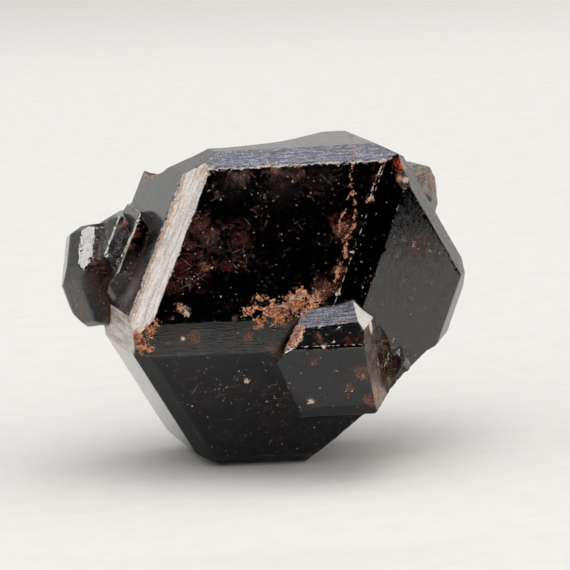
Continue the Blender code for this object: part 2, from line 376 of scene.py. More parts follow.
def mark_broken(bm, joined=12.0, fewest=14, most=2.2):
    """Marks the faces of uneven surfaces: many small ones, each nearly level with its neighbours."""
    broken = bm.faces.layers.int.new("broken")
    small = most * MM * MM
    unseen = {face for face in bm.faces if face.calc_area() < small}
    while unseen:
        patch = [unseen.pop()]
        for face in patch:
            for edge in face.edges:
                if len(edge.link_faces) != 2 or edge.calc_face_angle(math.pi) > math.radians(joined):
                    continue
                for other in edge.link_faces:
                    if other in unseen:
                        unseen.discard(other)
                        patch.append(other)
        if len(patch) >= fewest:
            for face in patch:
                face[broken] = 1
    for _ in range(3):
        for face in bm.faces:
            if face[broken] or face.calc_area() > small:
                continue
            beside = [other[broken] for edge in face.edges for other in edge.link_faces if other is not face]
            if sum(beside) * 2 >= len(beside):
                face[broken] = 1
    return broken


def crystal_edges(bm, broken, least=9.0):
    """The edges where flat faces meet each other or a break."""
    return [
        edge for edge in bm.edges
        if len(edge.link_faces) == 2
        and not all(face[broken] for face in edge.link_faces)
        and edge.calc_face_angle(0.0) > math.radians(least)
    ]


def border_gaps(spots, starts, ends):
    """Distance of each flat spot to the nearest border line, and whether it lies inside the border."""
    along = ends - starts
    offset = spots[:, None, :] - starts[None, :, :]
    share = np.clip((offset * along).sum(2) / np.maximum((along * along).sum(1), 1e-12), 0.0, 1.0)
    gaps = np.linalg.norm(offset - share[:, :, None] * along, axis=2).min(1)
    above = (starts[:, 1] > spots[:, None, 1]) != (ends[:, 1] > spots[:, None, 1])
    rise = np.where(along[:, 1] == 0, 1e-12, along[:, 1])
    crossing = starts[:, 0] + (spots[:, None, 1] - starts[:, 1]) * along[:, 0] / rise
    return gaps, (above & (spots[:, None, 0] < crossing)).sum(1) % 2 == 1


def lattice(low, high, step):
    """Points of a triangular lattice over a flat box, with their column and row numbers."""
    rows = np.arange(int((high[1] - low[1]) / (step * 0.866)) + 2)
    columns = np.arange(int((high[0] - low[0]) / step) + 2)
    row, column = [grid.ravel() for grid in np.meshgrid(rows, columns, indexing="ij")]
    spots = np.stack((low[0] + (column + row % 2 * 0.5) * step, low[1] + row * step * 0.866), axis=1)
    return spots, column, row


def inner_points(corners, step, detail):
    """Points inside a flat polygon: close together along its border and wider apart further in."""
    ends = np.roll(corners, -1, axis=0)
    spots, column, row = lattice(corners.min(0) + 0.31 * step, corners.max(0), step)
    gaps, inside = border_gaps(spots, corners, ends)
    second = (row % 2 == 0) & (column % 2 == row // 2 % 2)
    fourth = (row % 4 == 0) & (column % 4 == row // 4 % 2 * 2)
    wanted = (gaps < detail[0]) | ((gaps < detail[1]) & second) | fourth
    return spots[inside & wanted & (gaps > 0.6 * step)]


def fine_triangles(bm, broken, edges, sizes):
    """Fine triangles over each flat face: their points in mm, and the flat face each came from."""
    worn = {edge.index for edge in edges}
    points = [tuple(vert.co / MM) for vert in bm.verts]
    between = {}
    for edge in bm.edges:
        start, end = edge.verts
        step = sizes.fine_step if edge.index in worn else 2 * sizes.fine_step
        count = max(1, round(edge.calc_length() / MM / step))
        between[edge.index] = start.index, range(len(points), len(points) + count - 1)
        points += [tuple(start.co.lerp(end.co, k / count) / MM) for k in range(1, count)]
    triangles, owners = [], []
    for face in bm.faces:
        border = []
        for loop in face.loops:
            start, inner = between[loop.edge.index]
            border.append(loop.vert.index)
            border += inner if loop.vert.index == start else reversed(inner)
        longest = max(face.edges, key=lambda edge: edge.calc_length())
        along = (longest.verts[1].co - longest.verts[0].co).normalized()
        across = face.normal.cross(along).normalized()
        frame_axes = np.array((along, across))
        flat = np.array([points[index] for index in border]) @ frame_axes.T
        corners = np.array([vert.co / MM for vert in face.verts]) @ frame_axes.T
        if face[broken]:
            inner = inner_points(corners, 2 * sizes.fine_step, (ALL_OVER, ALL_OVER))
        else:
            narrow = face.calc_area() < NARROW_FACE * MM * MM
            band = ALL_OVER if narrow else sizes.middle_band
            inner = inner_points(corners, sizes.fine_step, (sizes.fine_band, band))
        depth = Vector(points[border[0]]).dot(face.normal)
        spots = np.concatenate((flat, inner))
        made, _, pieces, origins, _, _ = delaunay_2d_cdt(
            [Vector(spot) for spot in spots], [], [list(range(len(border)))], 1, 1e-5
        )
        index_of = []
        for spot, origin in zip(made, origins):
            known = [index for index in origin if index < len(border)]
            if known:
                index_of.append(border[known[0]])
            else:
                index_of.append(len(points))
                points.append(tuple(along * spot[0] + across * spot[1] + face.normal * depth))
        for piece in pieces:
            a, b, c = (made[index] for index in piece)
            turned = (b - a).cross(c - a) < 0
            triangles.append([index_of[index] for index in (reversed(piece) if turned else piece)])
            owners.append(face.index)
    return np.array(points), np.array(triangles), np.array(owners)


class EdgeGaps:
    """Finds how far points lie from the nearest edge of a set. Lengths are in mm."""

    def __init__(self, edges):
        self.ends = [(edge.verts[0].co / MM, edge.verts[1].co / MM) for edge in edges]
        spots = []
        for number, (start, end) in enumerate(self.ends):
            steps = max(1, round((end - start).length / 0.25))
            spots += [(start.lerp(end, (step + 0.5) / steps), number) for step in range(steps)]
        self.tree = kdtree.KDTree(len(spots))
        for place, (spot, number) in enumerate(spots):
            self.tree.insert(spot, place)
        self.tree.balance()
        self.owner = [number for _, number in spots]

    def nearest(self, point):
        """The gap and the number of the edge."""
        best, found = FAR, 0
        for _, place, away in self.tree.find_n(point, 3):
            if away > FAR:
                break
            number = self.owner[place]
            start, end = self.ends[number]
            along = end - start
            share = min(1.0, max(0.0, (point - start).dot(along) / max(along.length_squared, 1e-12)))
            gap = (start + along * share - point).length
            if gap < best:
                best, found = gap, number
        return best, found

    def measure(self, points):
        found = [self.nearest(Vector(point)) for point in points]
        return np.array([gap for gap, _ in found]), np.array([number for _, number in found])


def cloud(points, scale, octaves=3, shift=0.0):
    """Smooth noise from -1 to 1 at each point."""
    moved = points * scale + shift
    return np.array([noise.fractal(Vector(point), 1.0, 2.0, octaves) for point in moved])


def nearness(points, spots, spread=1.0):
    """A spot's strength in its middle, 0 at its rim and beyond. A spot is (x, y, z, radius, strength)."""
    best = np.zeros(len(points))
    for x, y, z, radius, *strength in spots:
        away = np.linalg.norm(points - (x, y, z), axis=1)
        best = np.maximum(best, (1.0 - away / (radius * spread)) * (strength[0] if strength else 1.0))
    return best


def line_gap(points, lines):
    """Distance of each point from the nearest of several bent lines."""
    gaps = np.full(len(points), FAR)
    for start, end in [(np.array(a), np.array(b)) for line in lines for a, b in zip(line, line[1:])]:
        along = end - start
        share = np.clip((points - start) @ along / (along @ along), 0.0, 1.0)
        gaps = np.minimum(gaps, np.linalg.norm(points - start - share[:, None] * along, axis=1))
    return gaps


class Sides:
    """The flat faces' normals, middles and finishes."""

    def __init__(self, bm, broken):
        self.normal = np.array([face.normal for face in bm.faces])
        self.middle = np.array([face.calc_center_median() / MM for face in bm.faces])
        self.broken = np.array([float(face[broken]) for face in bm.faces])
        longest = [max(face.edges, key=lambda edge: edge.calc_length()) for face in bm.faces]
        self.grain = np.array([(edge.verts[1].co - edge.verts[0].co).normalized() for edge in longest])
        self.across = np.cross(self.normal, self.grain)

    def finish(self, choices):
        """How strongly each face has a finish, from (where it looks, place, reach in mm, strength)."""
        strength = np.zeros(len(self.normal))
        for looks, place, reach, amount in choices:
            level = self.normal @ np.array(direction(*looks)) > math.cos(math.radians(4.0))
            near = np.linalg.norm(self.middle - place, axis=1) < reach
            strength[level & near & (self.broken == 0)] = amount
        return strength


def wear_edges(points, edges, gaps, numbers, sizes):
    """Moves points near an outward edge in, as far as the worn edge lies below the sharp one."""
    inward, slope, exposed = [], [], []
    for edge in edges:
        first, second = (face.normal for face in edge.link_faces)
        inward.append(-(first + second).normalized())
        slope.append(math.sin(edge.calc_face_angle(0.0) / 2))
        exposed.append(min(1.0, max(0.1, first.z + second.z)))
    shown = np.array(exposed)[numbers]
    rub = sizes.rub + 0.05 * cloud(points, 0.7)
    nick = np.clip(cloud(points, 1.3, 5, 7.0) - 0.25, 0.0, 1.0) * sizes.nick
    dent = np.clip(cloud(points, 0.4, 2, 31.0) - 0.4, 0.0, 1.0) * 1.6
    width = rub + (nick + dent * np.clip(nick * 8 + 0.3, 0.0, 1.0)) * (0.25 + 0.75 * shown)
    chipped = np.clip(1.0 - line_gap(points, CHIPPED_EDGES), 0.0, 1.0)
    width += chipped * np.abs(cloud(points, 1.7, 4, 19.0)) * 0.75
    depth = np.clip(width - gaps, 0.0, 1.0) * np.array(slope)[numbers] * 0.9
    return points + depth[:, None] * np.array(inward)[numbers], np.clip(width / 0.5, 0.0, 1.0) * shown


def roughen(points, outward, amount, sizes):
    """Moves the points of broken surfaces in by uneven amounts, with ribs as on broken glass."""
    coarse = cloud(points, 0.55, 5, 3.0)
    ribs = 1.0 - np.abs(cloud(points, 1.1, 3, 11.0)) * 2.2
    depth = sizes.unevenness * (coarse + 1.0) + sizes.rib * np.clip(ribs, 0.0, 1.0)
    return points - outward * (depth * amount)[:, None]


def point_normals(points, triangles):
    """Smooth normals."""
    a, b, c = (points[triangles[:, corner]] for corner in range(3))
    normals = np.zeros_like(points)
    for corner in range(3):
        np.add.at(normals, triangles[:, corner], np.cross(b - a, c - a))
    return normals / np.maximum(np.linalg.norm(normals, axis=1), 1e-12)[:, None]


def store_corners(mesh, name, values):
    """Stores three numbers for each corner of each triangle."""
    layer = mesh.attributes.new(name, "FLOAT_VECTOR", "CORNER")
    layer.data.foreach_set("vector", np.ascontiguousarray(values, dtype=np.float32).ravel())


def garnet_surface(sizes):
    """The mesh of the crystal's fine surface, with what its material reads stored on it."""
    bm = whole_faces()
    broken = mark_broken(bm)
    edges = crystal_edges(bm, broken)
    points, triangles, owners = fine_triangles(bm, broken, edges, sizes)
    sides = Sides(bm, broken)

    outer = [edge for edge in edges if edge.is_convex and not any(face[broken] for face in edge.link_faces)]
    inner = [edge for edge in edges if not edge.is_convex]
    gaps, numbers = EdgeGaps(outer).measure(points)
    rim_gaps, _ = EdgeGaps(edges).measure(points)
    joint_gaps, _ = EdgeGaps(inner).measure(points)

    on_break = np.ones(len(points))
    np.minimum.at(on_break, triangles.ravel(), np.repeat(sides.broken[owners], 3))
    inside_rim = on_break * np.clip(rim_gaps / 0.5, 0.0, 1.0)
    moved = roughen(points, point_normals(points, triangles), inside_rim, sizes)
    moved, worn = wear_edges(moved, outer, gaps, numbers, sizes)

    corners = triangles.ravel()
    owner_of = np.repeat(owners, 3)
    by_break = np.zeros(len(points))
    np.maximum.at(by_break, corners, sides.broken[owner_of])
    rust = np.maximum(nearness(points, RUST_SPOTS), by_break * nearness(points, CRUSTS))
    painted = {
        "gaps": (gaps, worn, joint_gaps),
        # The third stain is the painted glow.
        "stains": (rust, nearness(points, TAN_SPOTS), nearness(points, PAINTED_GLOW_SPOTS, 1.6)),
        "lines": (line_gap(points, VEINS), nearness(points, STAIN_SPOTS), line_gap(points, RIDGES)),
        # The third mark is the painted reflection.
        "marks": (
            line_gap(points, HAIRLINES), line_gap(points, CHIPPED_EDGES), nearness(points, PAINTED_REFLECTION_SPOTS),
        ),
    }
    mesh = bpy.data.meshes.new("garnet_crystal_surface")
    mesh.from_pydata((moved * MM).tolist(), [], triangles.tolist())
    for name, values in painted.items():
        store_corners(mesh, name, np.stack([value[corners] for value in values], axis=1))
    earthy = np.maximum(sides.broken, sides.finish(EARTHY))
    coats = np.stack((sides.finish(FROST_AND_GLARE), sides.finish(SHEEN) - sides.finish(CLEAN), earthy), axis=1)
    store_corners(mesh, "coats", coats[owner_of])
    store_corners(mesh, "grain", sides.grain[owner_of])
    store_corners(mesh, "across", sides.across[owner_of])
    bm.free()
    set_sharp_edges(mesh, sides.broken[owners])
    return mesh


def check_surface(mesh):
    """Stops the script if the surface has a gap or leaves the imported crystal's box."""
    edge_of = np.empty(len(mesh.loops), dtype=np.int32)
    mesh.loops.foreach_get("edge_index", edge_of)
    if (np.bincount(edge_of, minlength=len(mesh.edges)) != 2).any():
        raise RuntimeError("the crystal's surface is not closed")
    places = np.empty(len(mesh.vertices) * 3, dtype=np.float32)
    mesh.vertices.foreach_get("co", places)
    places = places.reshape(-1, 3)
    low, high = (np.array(corner) for corner in CAD_BOX)
    if (places < low - BOX_ALLOWANCE).any() or (places > high + BOX_ALLOWANCE).any():
        raise RuntimeError("the crystal's surface leaves the packed crystal's box")


def set_sharp_edges(mesh, broken, flat_limit=8.0, broken_limit=30.0):
    """Shades smooth, apart from edges that bend by more than the limit for their kind of surface."""
    bm = bmesh.new()
    bm.from_mesh(mesh)
    bm.faces.ensure_lookup_table()
    for edge in bm.edges:
        rough = all(broken[face.index] for face in edge.link_faces)
        limit = broken_limit if rough else flat_limit
        edge.smooth = edge.calc_face_angle(0.0) < math.radians(limit)
    for face in bm.faces:
        face.smooth = True
    bm.to_mesh(mesh)
    bm.free()


# ---------------------------------------------------------------- materials


def streaks(shader, place, along, width, length, seed):
    """Noise drawn out along a direction. Width and length are in mm."""
    run = place.dot(along)
    drawn = (place - along.scaled(run)).scaled(1.0 / width) + along.scaled(run * (1.0 / length))
    return shader.noise(drawn + (seed, seed, seed), 1.0, 1.0, 0.5)


class Coats:
    """Thin coats laid over the glass: their colour, how much they cover and how rough they are."""

    def __init__(self, shader, colour, cover, roughness):
        self.shader = shader
        self.colour = colour
        self.cover = cover
        self.roughness = roughness

    def lay(self, colour, amount, roughness=None):
        """Lays one more coat. Without a roughness it keeps that of the coats below."""
        self.colour = self.shader.mix(self.colour, colour, amount)
        self.cover = self.cover + (1.0 - self.cover) * amount
        if roughness is not None:
            self.roughness = self.roughness + (roughness - self.roughness) * amount


def garnet_material(sizes, colours):
    """Dark red glass under its coats, from the painted red glow up to the loose grains."""
    shader = Shader(bpy.data.materials.new("garnet"))
    place = shader.node("ShaderNodeTexCoord", output="Object").scaled(1.0 / MM)
    edge_gap, worn, joint_gap = shader.channels("gaps")
    # frost: partly real frosting, partly painted reflection; past 1, painted glare.
    frost, polished, broken = shader.channels("coats")
    sheen, clean = polished.at_least(0.0), (-polished).at_least(0.0)
    # The third stain channel, red, is the painted glow.
    rust, tan, red = shader.channels("stains")
    vein_gap, stain, ridge_gap = shader.channels("lines")
    # The third mark channel is the painted reflection.
    hair_gap, chipped_gap, painted_reflection = shader.channels("marks")
    grain, across = shader.attribute("grain", "Vector"), shader.attribute("across", "Vector")

    grit = shader.noise(place, GRIT, 2.0, 0.6)
    fine = shader.noise(place, FINE, 3.0, 0.65)
    middling = shader.noise(place, MIDDLING, 4.0, 0.6)
    broad = shader.noise(place, BROAD, 3.0, 0.55)
    combed = streaks(shader, place, grain, *COMB, 3.0)
    combed_wide = streaks(shader, place, grain, *WIDE_COMB, 9.0)
    specks = shader.noise(place + (40.0, 40.0, 40.0), GRAINS, 1.0, 0.4)

    # Painted glow: red light coming through the crystal, painted just under the faces.

    polish = (fine * 0.5 + middling * 0.5).ramp(0.35, 0.7, 0.06, 0.2)
    lively = (fine - 0.5) * 2.2 + (middling - 0.5) * 0.8
    cloudy = (middling - 0.5) * 1.6 + (broad - 0.5) * 1.2
    painted_glow_veil = (red * 0.75 + cloudy + (fine - 0.5) * 0.7 - clean * 0.4).ramp(0.2, 0.9, 0.0, 0.8)
    dim = (middling + broad - 1.0 + (fine - 0.5) * 0.4 - clean * 0.2).ramp(0.04, 0.22, 0.0, 0.3)
    painted_glow_colour = shader.mix(colours.painted_glow_veil, colours.ember, (red * 0.4 + lively).ramp(0.25, 0.8))
    painted_glow_colour = shader.mix(painted_glow_colour, colours.glow, (red * 0.7 + lively).ramp(0.85, 1.3))
    painted_glow_colour = shader.mix(painted_glow_colour, colours.blaze, (red * 0.7 + lively).ramp(1.25, 1.6))
    coats = Coats(shader, painted_glow_colour, painted_glow_veil.at_least(dim), polish)

    # Earth in the breaks; on the faces a painted sheen with painted glints, and painted reflection.
    clay = (fine * 0.7 + combed_wide * 0.4 + grit * 0.3).ramp(0.66, 0.86)
    brown = shader.mix(colours.earth, colours.clay, clay)
    coats.lay(brown, broken * (middling + fine * 0.4).ramp(0.5, 0.8, 0.4, 0.9), DUSTY)
    # Painted sheen and painted glints: a dark blue-grey coat, flecked pale, where the narrow upper faces show
    # the back soft box.
    flecks = (grit * 0.5 + combed * 0.45 + fine * 0.3).ramp(0.62, 0.78)
    painted_sheen_cover = (combed * 0.9 + middling * 0.8 + (grit - 0.5) * 0.4).ramp(0.6, 0.95, 0.55, 0.95)
    coats.lay(shader.mix(colours.sheen, colours.glint, flecks), sheen * painted_sheen_cover, 0.7)
    # Painted reflection: a grey coat where faces show the light.
    coats.lay(colours.painted_reflection, painted_reflection * (0.6 + combed * 0.8), 0.4)

    # Pale, rough faces, partly real frosting and partly painted reflection of the soft boxes, bitten into and
    # chipped along their edges.
    combing = (combed * 0.45 + combed_wide * 0.3 + fine * 0.3 + grit * 0.35).ramp(0.5, 0.86)
    chalk = shader.mix(colours.frost_dark, colours.frost, combing)
    chips = (0.95 - chipped_gap + (middling - 0.5) * 2.2 + (fine - 0.5) * 1.2).ramp(0.0, 0.4)
    chip_tone = shader.mix(colours.clay, colours.chip, (fine * 0.7 + combed * 0.4).ramp(0.48, 0.72))
    chalk = shader.mix(chalk, chip_tone, chips.at_least((fine + grit * 0.3).ramp(0.8, 0.88, 0.0, 0.6)))
    freckles = (fine * 0.75 + grit * 0.35 + chips * 0.1).ramp(0.7, 0.76)
    freckle_tone = shader.mix(colours.rust, colours.rust_pale, grit.ramp(0.45, 0.6))
    chalk = shader.mix(chalk, freckle_tone, freckles * 0.8)
    pits = (fine * 0.6 + grit * 0.5 - chips * 0.06).ramp(0.42, 0.36, 0.0, 0.75)
    chalk = shader.mix(chalk, colours.earth, pits)
    # Painted glare: where frost passes 1 the coat turns the white of a facet that shows the light.
    painted_glare = shader.mix(colours.frost_dark, colours.painted_glare_white, (grit * 0.6 + fine * 0.5).ramp(0.42, 0.56))
    chalk = shader.mix(chalk, painted_glare, frost.ramp(1.0, 1.4))
    bites = (0.12 - chipped_gap + (0.5 - middling) * 1.8 + (0.5 - fine) * 0.8).ramp(0.0, 0.1)
    frost_and_glare_cover = (frost * (combed_wide + fine * 0.5).ramp(0.45, 0.75, 0.5, 0.9)).at_most(0.97)
    coats.lay(chalk, frost_and_glare_cover * (1.0 - bites * 0.9), SATIN)
    spill = (0.1 - chipped_gap + (middling - 0.5) * 1.6 + (fine - 0.5) * 0.8).ramp(0.0, 0.1)
    coats.lay(chip_tone, spill * 0.85 * (1.0 - frost).at_least(0.0), SATIN)

    # Scratches, and dirt in the joints.
    scratch = 0.0
    for number, turn in enumerate(map(math.radians, SCRATCH_TURNS)):
        along = grain.scaled(math.cos(turn)) + across.scaled(math.sin(turn))
        mark = streaks(shader, place, along, sizes.scratch_width, sizes.scratch_length, 11.0 * number)
        scratch = (mark + (broad - 0.5) * 0.4 - clean * 0.12).ramp(0.735, 0.79) + scratch
    coats.lay(colours.scratch, scratch.at_most(1.0) * grit.ramp(0.3, 0.6, 0.2, 0.75), 0.4)

    joint = (0.3 - joint_gap + (fine - 0.5) * 1.0).ramp(0.0, 0.25)
    coats.lay(colours.earth, joint * 0.8, 0.6)

    # Iron stains, rust crumbs and healed cracks.
    stained = (stain * 1.1 + (middling - 0.5) * 1.4 + (grit - 0.5) * 1.0).ramp(0.3, 0.9, 0.0, 0.75)
    coats.lay(shader.mix(colours.rust_dark, colours.clay, grit.ramp(0.45, 0.7)), stained)

    ragged = rust + (middling - 0.5) * 2.5 + (fine - 0.5) * 1.4 + (grit - 0.5) * 0.6
    rusty = ragged.ramp(0.38, 0.54) * rust.ramp(0.0, 0.1)
    crumb = fine * 0.75 + grit * 0.25 + (middling - 0.5) * 0.5
    rust_tone = shader.mix(colours.rust_dark, colours.rust, crumb.ramp(0.42, 0.56))
    rust_tone = shader.mix(rust_tone, colours.rust_pale, crumb.ramp(0.55, 0.65))
    coats.lay(rust_tone, rusty * 0.95, EARTHEN)

    vein = (0.22 - vein_gap + (middling - 0.5) * 0.7 + (fine - 0.5) * 0.6).ramp(0.0, 0.12)
    vein_tone = shader.mix(colours.rust_dark, colours.vein, (fine * 0.6 + grit * 0.5).ramp(0.44, 0.6))
    coats.lay(vein_tone, vein, MATT)

    # Rubbed edges, hairlines, pale chips and loose grains.
    limit = worn * 0.16 + (middling - 0.5) * 0.5 * worn.ramp(0.0, 0.3) + (fine - 0.5) * 0.15 - 0.01
    rubbed = (limit - edge_gap).ramp(0.0, 0.06) * (1.0 - broken)
    coats.lay(colours.worn, rubbed * 0.8, MATT)

    hair = (0.04 - hair_gap + (middling - 0.5) * 0.3 + (fine - 0.5) * 0.2).ramp(0.0, 0.05)
    coats.lay(colours.worn, hair * 0.85, MATT)

    ridge = (0.12 - ridge_gap + (fine - 0.5) * 0.9).ramp(0.0, 0.12)
    tan_patch = (tan + (fine - 0.5) * 1.6 + (grit - 0.5) * 0.8).ramp(0.32, 0.5) * tan.ramp(0.0, 0.1)
    # Painted glare where the strongest tan spots or the frost pass their limit.
    painted_glare_cover = (tan + (fine - 0.5) * 0.6).ramp(0.7, 1.0).at_least(frost.ramp(1.0, 1.4))
    tan_tone = shader.mix(colours.chip, painted_glare, painted_glare_cover)
    coats.lay(tan_tone, tan_patch.at_least(ridge) * 0.93, MATT)

    dots = (specks + (broad - 0.5) * 0.2).ramp(0.735, 0.765)
    coats.lay(shader.mix(colours.chip, colours.rust, middling.ramp(0.5, 0.56)), dots * 0.8, MATT)

    comb_bump = shader.bump(combed, 0.2, 0.00003)
    bumpy = shader.bump(fine + middling * 2.0, 0.18, 0.000012, comb_bump)
    crusty = rusty.at_least(broken).at_least(frost * 0.6).at_most(1.0)
    rough_bump = shader.bump((grit * 0.6 + fine) * (0.04 + crusty), 1.0, 0.00014, bumpy)
    glass = shader.node(
        "ShaderNodeBsdfPrincipled",
        inputs={
            "Base Color": (*colours.body, 1.0), "Roughness": polish, "IOR": sizes.refraction,
            "Transmission Weight": 1.0, "Normal": bumpy,
        },
    )
    coat = shader.node(
        "ShaderNodeBsdfPrincipled",
        inputs={
            "Base Color": coats.colour, "Roughness": coats.roughness, "IOR": sizes.refraction,
            "Specular IOR Level": 0.3, "Normal": rough_bump,
        },
    )
    surface = shader.node("ShaderNodeMixShader", inputs={0: coats.cover.at_most(0.98), 1: glass, 2: coat})
    depth = shader.node(
        "ShaderNodeVolumeAbsorption",
        inputs={"Color": (*colours.depth, 1.0), "Density": sizes.absorption},
    )
    return shader.output(Surface=surface, Volume=depth)


# ---------------------------------------------------------------- settings


def plain_numbers(group):
    """A settings group's numbers without the last digits that single precision adds."""
    return SimpleNamespace(**{name: round(getattr(group, name), 6) for name in group.__annotations__})


class GarnetSizes(bpy.types.PropertyGroup):
    fine_step: FloatProperty(
        name="Fine step", description="Point spacing along the edges, in mm", default=0.15, min=0.1
    )
    fine_band: FloatProperty(
        name="Fine band", description="How far in from an edge the points stay closest, in mm", default=0.24
    )
    middle_band: FloatProperty(
        name="Middle band", description="How far in the next closest points reach, in mm", default=0.9
    )
    rub: FloatProperty(name="Rub", description="Width that rubbing takes off the edges, in mm", default=0.09)
    nick: FloatProperty(name="Nick", description="Width of the deepest nicks, in mm", default=0.7)
    unevenness: FloatProperty(
        name="Unevenness", description="Depth of the broad hollows on the breaks, in mm", default=0.12
    )
    rib: FloatProperty(name="Rib", description="Depth of the ribs on the breaks, in mm", default=0.1)
    scratch_width: FloatProperty(name="Scratch width", description="In mm", default=0.085)
    scratch_length: FloatProperty(name="Scratch length", description="In mm", default=2.2)
    refraction: FloatProperty(name="Refraction", description="Index of refraction", default=1.74)
    absorption: FloatProperty(
        name="Absorption", description="How fast the crystal swallows light, per metre", default=1100.0
    )


def colour(name, description, default):
    return FloatVectorProperty(name=name, description=description, subtype="COLOR", size=3, default=default)


class GarnetColours(bpy.types.PropertyGroup):
    body: colour("Body", "Tint of light that passes a face", (0.55, 0.2, 0.15))
    depth: colour("Depth", "Colour that is left after a short way through the crystal", (0.62, 0.07, 0.03))
    # Painted glow, from the dim red patches to the brightest sparks: light through the crystal, painted as
    # colour.
    painted_glow_veil: colour("Veil", "Dim red patches just under the faces", (0.03, 0.006, 0.005))
    ember: colour("Ember", "Brighter grains of the red patches", (0.11, 0.022, 0.012))
    glow: colour("Glow", "Thin corners that light comes through", (0.26, 0.022, 0.01))
    blaze: colour("Blaze", "Brightest sparks in the glowing corners", (0.8, 0.16, 0.05))
    earth: colour("Earth", "Dark brown dirt in the breaks and joints", (0.04, 0.02, 0.013))
    clay: colour("Clay", "Light brown streaks in the breaks", (0.36, 0.21, 0.13))
    # Painted sheen and painted glints of the back soft box on the narrow upper faces.
    sheen: colour("Sheen", "Blue grey of the narrow upper faces", (0.03, 0.032, 0.06))
    glint: colour("Glint", "Pale flecks on the narrow upper faces", (0.5, 0.5, 0.6))
    # The frost colours are partly the faces' real frosting and partly painted reflection of the soft boxes;
    # the glare white is painted reflection.
    frost_dark: colour("Dark frost", "Grooves of the pale, rubbed faces", (0.38, 0.305, 0.26))
    frost: colour("Frost", "Ridges of the pale, rubbed faces", (0.92, 0.845, 0.775))
    painted_glare_white: colour("White", "The whitest broken facet", (0.93, 0.89, 0.86))
    scratch: colour("Scratch", "Fine scratches", (0.2, 0.185, 0.18))
    rust_dark: colour("Dark rust", "Hollows of the iron stains", (0.085, 0.02, 0.01))
    rust: colour("Rust", "Iron stains", (0.5, 0.15, 0.042))
    rust_pale: colour("Pale rust", "Grains on the iron stains", (0.85, 0.42, 0.19))
    vein: colour("Vein", "The healed cracks", (0.5, 0.19, 0.085))
    # Painted reflection of the light on the faces, in grey.
    painted_reflection: colour("Haze", "Grey bloom of fine rubbing", (0.24, 0.235, 0.24))
    worn: colour("Worn", "Rubbed edges", (0.46, 0.42, 0.39))
    chip: colour("Chip", "Small pale chips and grains", (0.62, 0.5, 0.4))
    floor: colour("Floor", "The pale board it stands on", (0.82, 0.81, 0.785))


class GarnetLights(bpy.types.PropertyGroup):
    backdrop: FloatProperty(
        name="Backdrop", description="Brightness of the wall behind, as the camera sees it", default=0.86
    )
    left_box: FloatProperty(
        name="Left box", description="Brightness of the soft box on the left", default=7.5
    )
    back_box: FloatProperty(
        name="Back box", description="Brightness of the soft box above the back", default=2.8
    )
    room: FloatProperty(
        name="Room", description="Brightness of the wall that glossy faces show", default=0.62
    )
    card_shade: FloatProperty(
        name="Card shade", description="Grey of the upright dark cards", default=0.006, precision=4
    )
    # Painted shadow: greys of the floor cards that stand for the shade round the crystal's foot in its
    # reflections.
    foot_shade: FloatProperty(
        name="Foot shade", description="Grey of the card at the crystal's foot", default=0.36
    )
    near_shade: FloatProperty(
        name="Near shade", description="Grey of the card on the floor in front", default=0.5
    )


class GarnetCamera(bpy.types.PropertyGroup):
    lens: FloatProperty(name="Lens", description="Focal length in mm", default=290.56)
    heading: FloatProperty(
        name="Heading", description="Turn from +Y towards +X", subtype="ANGLE", default=math.radians(-6.7)
    )
    dip: FloatProperty(
        name="Dip", description="Angle below level", subtype="ANGLE", default=math.radians(8.666)
    )
    roll: FloatProperty(
        name="Roll", description="Turn about the line of sight", subtype="ANGLE",
        default=math.radians(-3.848),
    )
    place: FloatVectorProperty(
        name="Place", description="Where the camera stands", unit="LENGTH", size=3,
        default=(0.060215, -0.490095, 0.094063), precision=5,
    )


# ---------------------------------------------------------------- operators


class GARNET_OT_crystal(bpy.types.Operator):
    """Make the crystal's fine surface in place of the plain solid"""

    bl_idname = "garnet.crystal"
    bl_label = "Crystal"

    def execute(self, context):
        scene = context.scene
        sizes = plain_numbers(scene.garnet_sizes)
        mesh = garnet_surface(sizes)
        check_surface(mesh)
        piece = bpy.data.objects.new("garnet_crystal_surface", mesh)
        scene.collection.objects.link(piece)
        mesh.materials.append(garnet_material(sizes, scene.garnet_colours))
        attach(piece, "root")
        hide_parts(NODE)
        return {"FINISHED"}


def studio_light(name, looks, distance, width, height, radiance, colour):
    """A soft box that shines on glossy faces only. Its power follows from how bright its face is."""
    light = bpy.data.lights.new(name, "AREA")
    light.shape = "RECTANGLE"
    light.size = width
    light.size_y = height
    light.color = colour
    light.energy = radiance * math.pi * width * height
    holder = bpy.data.objects.new(name, light)
    holder.location = MIDDLE + direction(*looks) * distance
    holder.rotation_euler = (holder.location - MIDDLE).to_track_quat("Z", "Y").to_euler()
    holder.visible_camera = False
    holder.visible_diffuse = False
    bpy.context.scene.collection.objects.link(holder)


def square(name, half):
    """A flat square that lies level round the origin."""
    bm = bmesh.new()
    bmesh.ops.create_grid(bm, x_segments=1, y_segments=1, size=half)
    mesh = bpy.data.meshes.new(name)
    bm.to_mesh(mesh)
    bm.free()
    return mesh


def dark_card(name, place, looks, width, height, shade):
    """A dark card off to one side, or on the floor as a painted shadow. Only glossy faces show it."""
    mesh = square(name, 0.5)
    shader = Shader(bpy.data.materials.new(name))
    mesh.materials.append(shader.output(Surface=shader.node(
        "ShaderNodeBsdfDiffuse", inputs={"Color": (shade, shade, shade, 1.0)}
    )))
    card = bpy.data.objects.new(name, mesh)
    card.scale = (width, height, 1.0)
    card.location = place
    card.rotation_euler = direction(*looks).to_track_quat("Z", "Y").to_euler()
    for ray in ("camera", "diffuse", "transmission", "volume_scatter", "shadow"):
        setattr(card, "visible_" + ray, False)
    bpy.context.scene.collection.objects.link(card)


